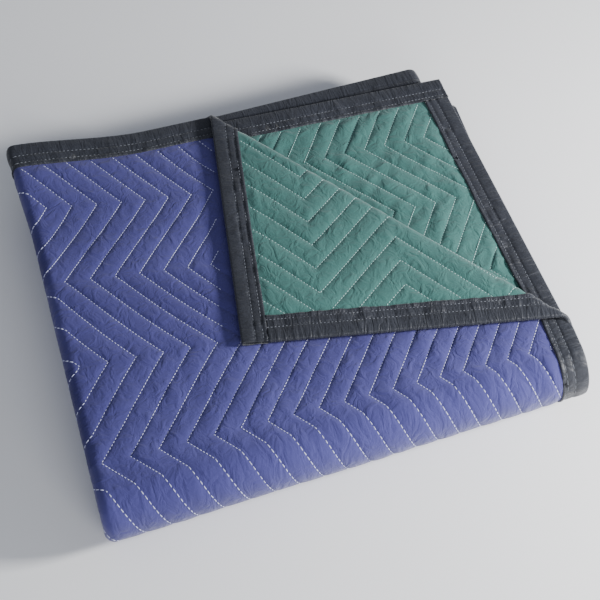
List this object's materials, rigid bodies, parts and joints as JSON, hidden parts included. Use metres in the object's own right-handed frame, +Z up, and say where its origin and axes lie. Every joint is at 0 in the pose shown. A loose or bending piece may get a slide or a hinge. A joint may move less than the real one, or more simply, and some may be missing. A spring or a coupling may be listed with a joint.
{
  "type": "moving blanket",
  "caption": "Quilted moving blanket folded into a neat stack, blue face out, with one top corner turned back to show the green side and the dark bound edges.",
  "frame": {"origin": "middle of the folded stack's bounding box, on the surface that it lies on", "axes": "+X along the round front fold, to the right as seen from the front; +Y from the front fold to the bound back edges; +Z up from the surface"},
  "size_m": [0.6196, 0.5642, 0.0932],
  "materials": {
    "blue_face": "matt quilted cloth",
    "green_back": "matt quilted cloth",
    "dark_binding": "matt gathered binding"
  },
  "bodies": {
    "root": {"face_panel": "blue_face", "back_panel": "green_back", "end_binding_upper": "dark_binding", "end_binding_lower": "dark_binding", "side_binding_outer": "dark_binding", "side_binding_inner": "dark_binding"}
  },
  "joints": []
}
